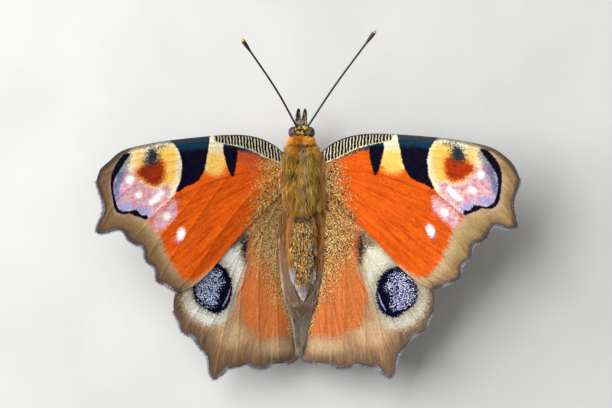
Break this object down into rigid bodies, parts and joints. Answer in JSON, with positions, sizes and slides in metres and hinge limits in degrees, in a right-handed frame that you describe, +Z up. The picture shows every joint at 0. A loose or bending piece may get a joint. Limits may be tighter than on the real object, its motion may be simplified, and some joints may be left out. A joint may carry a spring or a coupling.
{
  "type": "peacock butterfly, still model",
  "caption": "Life-size butterfly standing on its legs with wings spread, scalloped wing edges, raised wing veins, clubbed feelers, coiled tongue and hairy body.",
  "frame": {"origin": "middle of the butterfly's box in plan, on the floor that the feet stand on", "axes": "+X the animal's left, across the span of the wings; +Y towards the tip of the abdomen, with the head at -Y; +Z up"},
  "size_m": [0.063, 0.052, 0.0148],
  "materials": {
    "dark_hair": "short dark brown hair with grey tips",
    "eye": "dark glossy facets",
    "feeler": "dark brown, finely ringed, pale at the tip",
    "golden_hair": "soft golden olive hair with dark streaks",
    "abdomen_scales": "dark scales and short golden hair, paler at the ring edges",
    "forewing_scales": "matt orange red scales with black, cream and blue eyespot",
    "hindwing_scales": "matt brown and red scales with black and blue eyespot",
    "leg_scales": "dull brown scales"
  },
  "bodies": {
    "root": {"head": "dark_hair", "eye_left": "eye", "eye_right": "eye", "palp_left": "dark_hair", "palp_right": "dark_hair", "proboscis": "feeler", "antenna_left": "feeler", "antenna_right": "feeler", "collar": "golden_hair", "thorax": "golden_hair", "abdomen": "abdomen_scales", "forewing_left": "forewing_scales", "forewing_right": "forewing_scales", "hindwing_left": "hindwing_scales", "hindwing_right": "hindwing_scales", "foreleg_left": "leg_scales", "foreleg_right": "leg_scales", "leg_mid_left_femur": "leg_scales", "leg_mid_left_tibia": "leg_scales", "leg_mid_left_tarsus": "leg_scales", "leg_mid_right_femur": "leg_scales", "leg_mid_right_tibia": "leg_scales", "leg_mid_right_tarsus": "leg_scales", "leg_hind_left_femur": "leg_scales", "leg_hind_left_tibia": "leg_scales", "leg_hind_left_tarsus": "leg_scales", "leg_hind_right_femur": "leg_scales", "leg_hind_right_tibia": "leg_scales", "leg_hind_right_tarsus": "leg_scales"}
  },
  "joints": []
}
